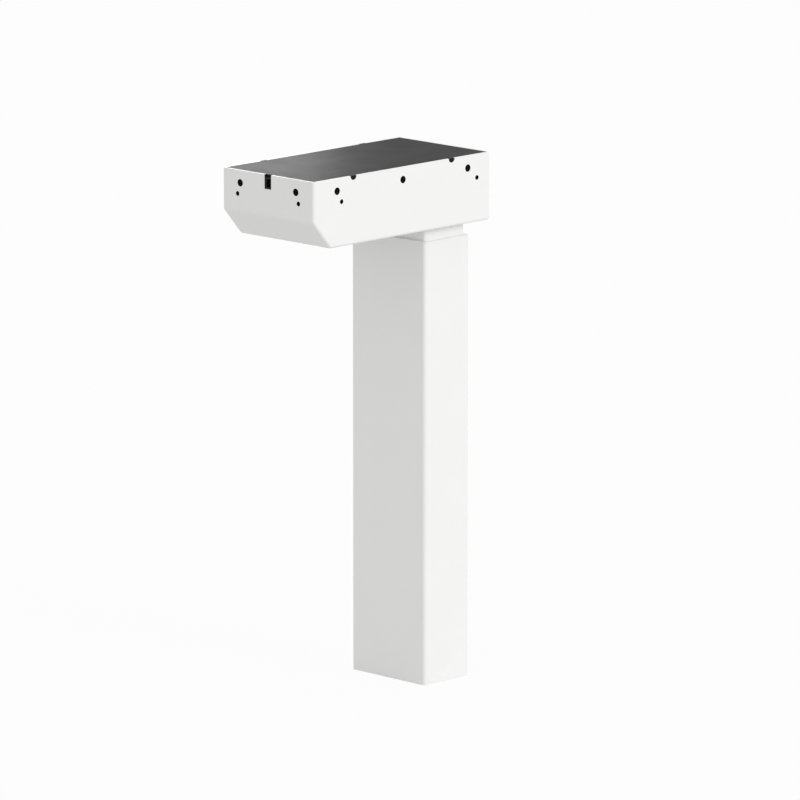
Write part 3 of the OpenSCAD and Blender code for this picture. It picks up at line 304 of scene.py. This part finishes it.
def cut_away(piece, cutter_bm, wall_material):
    """Applies the modifiers of a piece and cuts it; the cut walls get a material of their own."""
    cutter_mesh = bpy.data.meshes.new("cutter")
    cutter_bm.to_mesh(cutter_mesh)
    cutter_bm.free()
    cutter_mesh.materials.append(wall_material)
    cutter = bpy.data.objects.new("cutter", cutter_mesh)
    bpy.context.collection.objects.link(cutter)
    boolean = piece.modifiers.new("cut", "BOOLEAN")
    boolean.operation = "DIFFERENCE"
    boolean.solver = "EXACT"
    boolean.material_mode = "TRANSFER"
    boolean.object = cutter
    shown = piece.evaluated_get(bpy.context.evaluated_depsgraph_get())
    mesh = bpy.data.meshes.new_from_object(shown)
    piece.modifiers.clear()
    piece.data = mesh
    bpy.data.objects.remove(cutter)
    bpy.data.meshes.remove(cutter_mesh)


def mesh_object(name, bm):
    """Unfinished object from a bmesh, with normals pointing outwards."""
    bmesh.ops.recalc_face_normals(bm, faces=bm.faces)
    mesh = bpy.data.meshes.new(name)
    bm.to_mesh(mesh)
    bm.free()
    piece = bpy.data.objects.new(name, mesh)
    bpy.context.collection.objects.link(piece)
    return piece


bm = bmesh.new()
side_outline = [
    (housing_low.x, housing_high.z),
    (housing_low.x, housing_low.z + slope_height),
    (housing_low.x + slope_length, housing_low.z),
    (housing_high.x, housing_low.z),
    (housing_high.x, housing_high.z),
]
side_face = bm.faces.new([bm.verts.new((x, housing_low.y, z)) for x, z in side_outline])
swept = bmesh.ops.extrude_face_region(bm, geom=[side_face])["geom"]
bmesh.ops.translate(bm, vec=(0, housing_high.y - housing_low.y, 0), verts=verts_in(swept))
mouth = [f for f in bm.faces if all(v.co.z > housing_high.z - MM for v in f.verts)]
bmesh.ops.delete(bm, geom=mouth, context="FACES")
bmesh.ops.bevel(bm, geom=[e for e in bm.edges if not e.is_boundary], offset=bend_radius,
                offset_type="OFFSET", affect="EDGES", segments=5, profile=0.5, material=-1)
# An open shell's normals are turned outwards by its bottom face, which has to look down.
housing = mesh_object("motor_housing", bm)
housing.data.materials.append(powder_coat)
bm = bmesh.new()
bm.from_mesh(housing.data)
bottom = min(bm.faces, key=lambda f: f.calc_center_median().z)
if bottom.normal.z > 0:
    bmesh.ops.reverse_faces(bm, faces=bm.faces)
bm.to_mesh(housing.data)
bm.free()
wall = housing.modifiers.new("wall", "SOLIDIFY")
wall.thickness = sheet
wall.offset = -1
wall.use_even_offset = True

hole_radius = 3.9 * MM
hole_row = housing_high.z - 13.2 * MM
hole_pitch = 96.5 * MM
end_hole_pitch = 80.8 * MM
small_radius = 2.5 * MM
small_row = housing_high.z - 24.8 * MM
small_places = [housing_low.x + 40.5 * MM, housing_high.x - 20.3 * MM]
small_end_pitch = 88.4 * MM
notch_radius = 4.5 * MM
notch_pitch = 145 * MM
slot_width = 9.5 * MM
slot_depth = 15 * MM
floor_gap = 0.4 * MM
head_bolt_out = 6.5 * MM
head_bolt_x = inner_high.x + head_bolt_out
head_bolt_y = inner_high.y + head_bolt_out
head_bolt_radius = 2.5 * MM
width = housing_high.y - housing_low.y
length = housing_high.x - housing_low.x

# The walls of the holes and the cable slot get raw steel, nearly black, in place of the white coat.
# This is painted shade, which makes the holes and the slot look dark.
raw_metal_and_painted_shade, shader = new_material("blued_raw_metal_and_painted_shade", metallic=0.9)
add_shades(raw_metal_and_painted_shade, shader, 5 * MM, "222225", "363636", (0.5, 0.7))
add_grain(raw_metal_and_painted_shade, shader, 0.5 * MM, 0.03 * MM)
across = (0, 1, 0)
along = (1, 0, 0)
upwards = (0, 0, 1)
cutter = bmesh.new()
for step in (-1, 0, 1):
    centre = (middle_x + step * hole_pitch, 0, hole_row)
    hole_bar(cutter, centre, across, hole_radius, 2 * width)
for side in (-1, 1):
    hole_bar(cutter, (middle_x, side * end_hole_pitch / 2, hole_row), along, hole_radius, 2 * length)
    centre = (middle_x, side * small_end_pitch / 2, small_row)
    hole_bar(cutter, centre, along, small_radius, 2 * length)
# The walls of these holes get the nearly black steel as painted shade.
cut_away(housing, cutter, raw_metal_and_painted_shade)
cutter = bmesh.new()
for x in small_places:
    hole_bar(cutter, (x, 0, small_row), across, small_radius, 2 * width)
# The walls of these small holes and of the cable slot get the nearly black steel as painted shade.
block(cutter, (housing_low.x - sheet, -slot_width / 2, housing_high.z - slot_depth),
      (housing_low.x + 2 * sheet, slot_width / 2, housing_high.z + sheet))
cut_away(housing, cutter, raw_metal_and_painted_shade)
cutter = bmesh.new()
for side in (-1, 1):
    centre = (middle_x + side * notch_pitch / 2, 0, housing_high.z)
    hole_bar(cutter, centre, across, notch_radius, 2 * width)
opening = rounded_face(cutter, 2 * (inner_high.x + floor_gap), 2 * (inner_high.y + floor_gap),
                       inner_radius + floor_gap, housing_low.z - sheet)
raise_faces(cutter, [opening], 3 * sheet)
for x in (-head_bolt_x, head_bolt_x):
    for y in (-head_bolt_y, head_bolt_y):
        hole_bar(cutter, (x, y, housing_low.z), upwards, head_bolt_radius, 4 * sheet, 24)
bmesh.ops.recalc_face_normals(cutter, faces=cutter.faces)
cut_away(housing, cutter, powder_coat)
# The cuts leave slivers of no width along the bends, which are cleared away.
sliver = 0.005 * MM
bm = bmesh.new()
bm.from_mesh(housing.data)
bmesh.ops.remove_doubles(bm, verts=bm.verts, dist=sliver)
bmesh.ops.dissolve_degenerate(bm, edges=bm.edges, dist=sliver)
# Clearing them lifts a few points of the rim by less than 0.001 mm, which is taken back.
for vert in bm.verts:
    vert.co.z = min(vert.co.z, housing_high.z)
bm.to_mesh(housing.data)
bm.free()
rim = housing.modifiers.new("broken_edges", "BEVEL")
rim.width = 0.3 * MM
rim.segments = 2
rim.limit_method = "ANGLE"
rim.angle_limit = sharp_angle
housing.data.shade_smooth()
housing.data.set_sharp_from_angle(angle=smooth_angle)
flats = housing.modifiers.new("flat_faces", "WEIGHTED_NORMAL")
flats.keep_sharp = True
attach(housing, "head")
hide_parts("housing_shell")

# Guides
# Two frames of injection-moulded acetal, clipped between the tubes, on which the moving stage
# slides without play. Only the lip of the upper one shows, over the rim of the outer tube.
body_of = {node: body for body, nodes in frame["record"]["behaviour"]["bodies"].items()
           for node in nodes}


def merged(node):
    """A bmesh of a frame solid with its loose triangles joined into clean flat and round faces."""
    bm = bmesh.new()
    bm.from_mesh(frame["nodes"][node].data)
    bmesh.ops.remove_doubles(bm, verts=bm.verts, dist=0.002 * MM)
    bmesh.ops.dissolve_limit(bm, angle_limit=math.radians(0.8), verts=bm.verts, edges=bm.edges)
    # A flat face with holes has a long seam, which a bevel would fold over, so it is cut up evenly.
    bmesh.ops.triangulate(bm, faces=[f for f in bm.faces if len(f.verts) > 4],
                          quad_method="BEAUTY", ngon_method="BEAUTY")
    return bm


def finish_solid(node, material, edge_width):
    """Makes the shown piece for a solid whose shape is right: its edges broken, then finished."""
    bm = merged(node)
    break_edges(bm, edge_width)
    make_piece(node + ".finished", bm, material, body_of[node], node)


# Acetal: milky white, smooth from the polished mould, with a soft sheen.
acetal_white, shader = new_material("moulded_acetal_white")
add_shades(acetal_white, shader, 25 * MM, "F2F2F0", "F6F6F4", (0.30, 0.40))
add_grain(acetal_white, shader, 0.8 * MM, 0.006 * MM)
finish_solid("upper_guide", acetal_white, 0.08 * MM)

# The same plastic unbleached, as it comes for wearing parts: warm ivory, a little duller.
acetal_natural, shader = new_material("moulded_acetal_natural")
add_shades(acetal_natural, shader, 20 * MM, "E5DFCC", "ECE8DA", (0.38, 0.48))
add_grain(acetal_natural, shader, 0.8 * MM, 0.01 * MM)
finish_solid("lower_guide", acetal_natural, 0.3 * MM)

# Foot
# An 8 mm steel plate, flame-cut, drilled, tapped M8 and zinc-plated, sits in the foot of the
# outer tube. Four rubber buffers on it stop the moving stage at the bottom.
# Bright zinc: silver with a faint blue passivation and patches of uneven gloss.
zinc, shader = new_material("zinc_plated_steel", metallic=1.0)
add_shades(zinc, shader, 9 * MM, "B5BABF", "CACCCC", (0.26, 0.42))
add_grain(zinc, shader, 0.7 * MM, 0.02 * MM)
finish_solid("base_plate", zinc, 0.4 * MM)

# Nitrile rubber: deep grey, matt, slightly dusty.
rubber, shader = new_material("moulded_rubber_black")
add_shades(rubber, shader, 6 * MM, "1A1A1B", "262627", (0.7, 0.86))
add_grain(rubber, shader, 0.6 * MM, 0.03 * MM)
finish_solid("end_buffers", rubber, 0.3 * MM)

# Weld nuts
# Square M6 weld nuts of the same raw steel, projection-welded behind the ten large holes before
# the coat is put on. Their threads are plugged with the holes.
finish_solid("weld_nuts", raw_metal_and_painted_shade, 0.5 * MM)

# Lid
# Flat cover injection-moulded in black ABS with a fine spark-eroded grain. Its skirt drops inside
# the rim, and half-round lugs snap into the notches of both long sides.
# The grain is about 0.3 mm; it is drawn at 0.9 mm so that it breaks up the sheen.
abs_black, shader = new_material("grained_abs_black")
shader.inputs["Specular IOR Level"].default_value = 0.028
add_shades(abs_black, shader, 40 * MM, "1E1E1F", "232323", (0.42, 0.47))
add_grain(abs_black, shader, 0.9 * MM, 0.02 * MM)
bm = merged("top_lid")
lid_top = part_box("top_lid")[1].z
upper_rim = [e for e in bm.edges if e.is_manifold and e.calc_face_angle() > sharp_angle
             and all(v.co.z > lid_top - 0.01 * MM for v in e.verts)]
bmesh.ops.bevel(bm, geom=upper_rim, offset=0.6 * MM, offset_type="OFFSET", affect="EDGES",
                segments=3, profile=0.5, material=-1, clamp_overlap=True)
break_edges(bm, 0.2 * MM)
for vert in bm.verts:
    vert.co.z = min(vert.co.z, lid_top)
make_piece("top_lid.finished", bm, abs_black, "head", "top_lid")

# Cable socket
# Six-pole low-voltage socket of black glass-filled nylon behind the slot of the motor end, with
# gold-plated pins pressed into its back. Its mouth is open for the plug of the control box.
nylon_black, shader = new_material("moulded_nylon_black")
add_shades(nylon_black, shader, 8 * MM, "131314", "1A1A1B", (0.44, 0.56))
add_grain(nylon_black, shader, 0.5 * MM, 0.015 * MM)
finish_solid("cable_socket", nylon_black, 0.3 * MM)

gold, shader = new_material("gold_plated_brass", metallic=1.0)
add_shades(gold, shader, 1.5 * MM, "DDB05C", "E8C173", (0.16, 0.28))
add_grain(gold, shader, 0.2 * MM, 0.003 * MM)
finish_solid("socket_pins", gold, 0.12 * MM)

# Head plate and screws
# The flame-cut plate welded on the inner tube carries the gearbox on four M5 bolts, and four M6
# screws clamp the housing's floor to it. Plate, bolts and screws are zinc-plated.
for node, edge_width in {"head_plate": 0.4, "head_bolts": 0.25, "gearbox_bolts": 0.3}.items():
    finish_solid(node, zinc, edge_width * MM)

# Gearbox
# Two pressure die-cast aluminium halves, split at the worm's height and bolted through their
# corners. The cast skin is matt with a fine pebbled texture from the die.
# The pebbles are about 0.5 mm; they are drawn at 1.2 mm.
cast_aluminium, shader = new_material("die_cast_aluminium", metallic=1.0)
add_shades(cast_aluminium, shader, 14 * MM, "9EA1A4", "B4B5B6", (0.40, 0.58))
add_grain(cast_aluminium, shader, 1.2 * MM, 0.05 * MM)
for node in ("gearbox_lower", "gearbox_upper"):
    finish_solid(node, cast_aluminium, 0.4 * MM)

# Bearings and bushes
# Deep-groove ball bearings of hardened, ground steel carry the spindle, and plain bushes of
# sintered bronze, porous and soaked with oil, carry the worm and the motor shaft.
ground_steel, shader = new_material("ground_bearing_steel", metallic=1.0)
add_shades(ground_steel, shader, 4 * MM, "C2C4C7", "D0D2D3", (0.10, 0.22))
add_grain(ground_steel, shader, 0.35 * MM, 0.004 * MM, stretch=(1, 1, 6))
for node in ("lower_bearing_outer", "lower_bearing_inner", "upper_bearing_outer",
             "upper_bearing_inner"):
    finish_solid(node, ground_steel, 0.3 * MM)
for node in ("lower_bearing_balls", "upper_bearing_balls"):
    make_piece(node + ".finished", merged(node), ground_steel, body_of[node], node)

bronze, shader = new_material("sintered_bronze", metallic=1.0)
add_shades(bronze, shader, 1.2 * MM, "8F6435", "B98A50", (0.36, 0.6))
add_grain(bronze, shader, 0.3 * MM, 0.03 * MM)
for node in ("front_bush", "worm_end_bush", "rear_bush"):
    finish_solid(node, bronze, 0.4 * MM)

# Worm and wheel
# A rolled and polished steel worm on the motor shaft turns a helical wheel moulded in natural
# acetal on a steel hub, which is keyed to the spindle.
for node, edge_width in {"worm": 0.12, "wheel_hub": 0.25, "wheel_key": 0.25,
                         "motor_shaft": 0.3, "shaft_circlip": 0.15}.items():
    finish_solid(node, ground_steel, edge_width * MM)
finish_solid("worm_wheel", acetal_natural, 0.12 * MM)

# Spindle
# Trapezoidal screw of rolled steel with two starts and a 10 mm lead, right-handed, lightly oiled.
# Its turned collar stands on the lower bearing; its crests run in the nut's bore.
spindle_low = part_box("spindle")[0]
crest_radius = 6.4 * MM
root_radius = 5.0 * MM
lead = 10 * MM
starts = 2
turns = 44
turn_steps = 24
thread_top = spindle_low.z + turns * lead
# Seen along the spindle, each start is a crest of 40% of its share of the circle, two flanks that
# slope by 15 degrees, and a root. All angles are in degrees.
start_angle = 360 / starts
crest_half = start_angle * 0.20
flank_angle = 360 / lead * (crest_radius - root_radius) * math.tan(math.radians(15))
crest_arc = (crest_radius, -crest_half, crest_half)
root_arc = (root_radius, crest_half + flank_angle, start_angle - crest_half - flank_angle)
outline = []
for start in range(starts):
    middle = start_angle * start
    for radius, begin, end in (crest_arc, root_arc):
        outline += [(radius, middle + begin + (end - begin) * i / 4) for i in range(5)]

bm = bmesh.new()
ring = [bm.verts.new((radius * math.cos(math.radians(angle)),
                      radius * math.sin(math.radians(angle)), spindle_low.z))
        for radius, angle in outline]
lower_cap = bm.faces.new(ring)
bmesh.ops.spin(bm, geom=list(lower_cap.edges), cent=(0, 0, 0), axis=upwards,
               dvec=(0, 0, lead / turn_steps), angle=math.tau, steps=turn_steps,
               use_duplicate=False)
one_turn = [f for f in bm.faces if f is not lower_cap]
for turn in range(1, turns):
    copied = bmesh.ops.duplicate(bm, geom=one_turn)["geom"]
    bmesh.ops.translate(bm, vec=(0, 0, lead * turn), verts=verts_in(copied))
bmesh.ops.remove_doubles(bm, verts=bm.verts, dist=0.001 * MM)
bmesh.ops.contextual_create(bm, geom=[e for e in bm.edges if e.is_boundary])
upper = merged("spindle")
bmesh.ops.bisect_plane(upper, geom=upper.verts[:] + upper.edges[:] + upper.faces[:], dist=0,
                       plane_co=(0, 0, thread_top - 0.5 * MM), plane_no=upwards, clear_inner=True)
bmesh.ops.holes_fill(upper, edges=[e for e in upper.edges if e.is_boundary])
break_edges(upper, 0.2 * MM)
upper_mesh = bpy.data.meshes.new("spindle_upper")
upper.to_mesh(upper_mesh)
upper.free()
bm.from_mesh(upper_mesh)
bpy.data.meshes.remove(upper_mesh)
make_piece("spindle.finished", bm, ground_steel, "spindle", "spindle")
for node in ("end_stop_washer", "end_stop_screw"):
    finish_solid(node, zinc, 0.3 * MM)

# Nut and nut tube
# The acetal nut is screwed to a collar on a steel tube that stands on the base plate, so that
# the turning spindle climbs in it.
finish_solid("spindle_nut", acetal_natural, 0.3 * MM)
for node, edge_width in {"nut_tube": 0.25, "nut_collar": 0.4, "nut_tube_foot": 0.3,
                         "nut_tube_screw": 0.2, "nut_screws": 0.15}.items():
    finish_solid(node, zinc, edge_width * MM)

# Motor
# A brushed DC motor: a deep-drawn zinc-plated can with two ferrite magnets, a stack of stamped
# core sheets wound with enamelled wire, a copper commutator and two carbon brushes on springs.
finish_solid("motor_can", zinc, 0.5 * MM)
finish_solid("through_bolts", zinc, 0.2 * MM)
finish_solid("motor_end_cap", nylon_black, 0.3 * MM)
finish_solid("motor_cradle", rubber, 0.5 * MM)

ferrite, shader = new_material("sintered_ferrite")
add_shades(ferrite, shader, 6 * MM, "262628", "343436", (0.5, 0.72))
add_grain(ferrite, shader, 0.4 * MM, 0.02 * MM)
finish_solid("motor_magnets", ferrite, 0.5 * MM)
finish_solid("sensor_magnet", ferrite, 0.3 * MM)

carbon, shader = new_material("pressed_carbon")
add_shades(carbon, shader, 2 * MM, "161618", "252527", (0.45, 0.68))
add_grain(carbon, shader, 0.25 * MM, 0.015 * MM)
finish_solid("carbon_brushes", carbon, 0.3 * MM)

# Core sheets are 0.5 mm thick; the stack is drawn with bands of 1 mm, so that they show. A wave
# texture repeats after a full turn, divided by its scale and by its built-in rate of 20.
wave_rate = 20
sheet_band = 1 * MM
core_steel, shader = new_material("laminated_core_steel", metallic=1.0)
shader.inputs["Roughness"].default_value = 0.4
tree = core_steel.node_tree
place = add_node(tree, "TexCoord").outputs["Object"]
sheets = add_node(tree, "TexWave", {"Vector": place, "Scale": math.tau / (wave_rate * sheet_band),
                                    "Distortion": 0.0}, bands_direction="X")
tint = add_node(tree, "Mix", {0: sheets.outputs["Fac"], 6: linear("6A6D72"), 7: linear("94979B")},
                data_type="RGBA")
tree.links.new(tint.outputs[2], shader.inputs["Base Color"])
relief = add_node(tree, "Bump", {"Height": sheets.outputs["Fac"], "Distance": 0.05 * MM})
tree.links.new(relief.outputs[0], shader.inputs["Normal"])
finish_solid("armature_core", core_steel, 0.2 * MM)

# Winding wire is 0.7 mm thick with a clear amber enamel over the copper. Its turns lie in uneven
# rings about the middle of the armature, which go round the drum and over both of its ends.
winding_wire = 0.7 * MM
winding_low, winding_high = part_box("armature_windings")
enamelled_copper, shader = new_material("enamelled_copper_wire", metallic=1.0)
shader.inputs["Coat Weight"].default_value = 0.6
shader.inputs["Coat Roughness"].default_value = 0.15
add_shades(enamelled_copper, shader, 2.5 * MM, "8C4722", "B5653A", (0.24, 0.38))
tree = enamelled_copper.node_tree
place = add_node(tree, "TexCoord").outputs["Object"]
centred = add_node(tree, "Mapping", {"Vector": place, "Location": -(winding_low + winding_high) / 2})
wires = add_node(tree, "TexWave", {"Vector": centred.outputs[0],
                                   "Scale": math.tau / (wave_rate * winding_wire), "Distortion": 1.2,
                                   "Detail": 1.0, "Detail Scale": 0.4},
                 wave_type="RINGS", rings_direction="SPHERICAL")
relief = add_node(tree, "Bump", {"Height": wires.outputs["Fac"], "Distance": 0.2 * MM})
tree.links.new(relief.outputs[0], shader.inputs["Normal"])
finish_solid("armature_windings", enamelled_copper, 0.5 * MM)

copper, shader = new_material("turned_copper", metallic=1.0)
add_shades(copper, shader, 3 * MM, "B56C43", "CB8458", (0.18, 0.34))
add_grain(copper, shader, 0.3 * MM, 0.01 * MM, stretch=(6, 1, 1))
finish_solid("commutator", copper, 0.1 * MM)

# Each brush spring is wound from 0.7 mm wire between the brush and its guide's end.
spring_low, spring_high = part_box("brush_springs")
wire_radius = 0.35 * MM
coil_radius = (spring_high.x - spring_low.x) / 2 - wire_radius
spring_length = 3.5 * MM
coils = 4
spring_steps = coils * 24
bm = bmesh.new()
for begin in (spring_low.y, spring_high.y - spring_length):
    centre = Vector(((spring_low.x + spring_high.x) / 2, begin, (spring_low.z + spring_high.z) / 2))
    place = Matrix.Translation(centre + Vector((coil_radius, wire_radius, 0)))
    ring = bmesh.ops.create_circle(bm, cap_ends=True, segments=10, radius=wire_radius,
                                   matrix=place)["verts"]
    cap = ring[0].link_faces[0]
    rise = (spring_length - 2 * wire_radius) / spring_steps
    coil = bmesh.ops.spin(bm, geom=list(cap.edges), cent=centre, axis=across, dvec=(0, rise, 0),
                          angle=math.tau * coils, steps=spring_steps, use_duplicate=False)
    bmesh.ops.contextual_create(bm, geom=[e for e in coil["geom_last"]
                                          if isinstance(e, bmesh.types.BMEdge)])
make_piece("brush_springs.finished", bm, ground_steel, "head",
           "brush_springs")

# Sensor board and leads
# A green glass-epoxy board behind the motor carries two Hall sensors, screwed to posts of the end
# cap. Silicone leads, red and black, and a grey signal lead run to the cable socket.
circuit_board, shader = new_material("glass_epoxy_board_green")
shader.inputs["Coat Weight"].default_value = 0.4
shader.inputs["Coat Roughness"].default_value = 0.2
add_shades(circuit_board, shader, 4 * MM, "185032", "256B47", (0.28, 0.42))
add_grain(circuit_board, shader, 0.5 * MM, 0.01 * MM)
finish_solid("sensor_board", circuit_board, 0.15 * MM)
finish_solid("hall_sensors", nylon_black, 0.15 * MM)
finish_solid("board_screws", zinc, 0.1 * MM)

silicone_red, shader = new_material("silicone_lead_red")
add_shades(silicone_red, shader, 5 * MM, "9E2622", "B2302B", (0.36, 0.5))
silicone_black, shader = new_material("silicone_lead_black")
add_shades(silicone_black, shader, 5 * MM, "161617", "202021", (0.36, 0.5))
silicone_grey, shader = new_material("silicone_lead_grey")
add_shades(silicone_grey, shader, 5 * MM, "747678", "848688", (0.36, 0.5))
shaft_low, shaft_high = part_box("motor_shaft")
motor_axis_y = (shaft_low.y + shaft_high.y) / 2
# Behind this place the leads have turned in towards the socket, on both sides of the middle.
crossing_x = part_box("sensor_board")[0].x - 15.4 * MM
bm = merged("power_leads")
for face in bm.faces:
    centre = face.calc_center_median()
    between = motor_axis_y if centre.x > crossing_x else 0
    face.material_index = 1 if centre.y < between else 0
power_leads = make_piece("power_leads.finished", bm, silicone_red, "head",
                         "power_leads")
power_leads.data.materials.append(silicone_black)
make_piece("signal_lead.finished", merged("signal_lead"), silicone_grey, "head",
           "signal_lead")
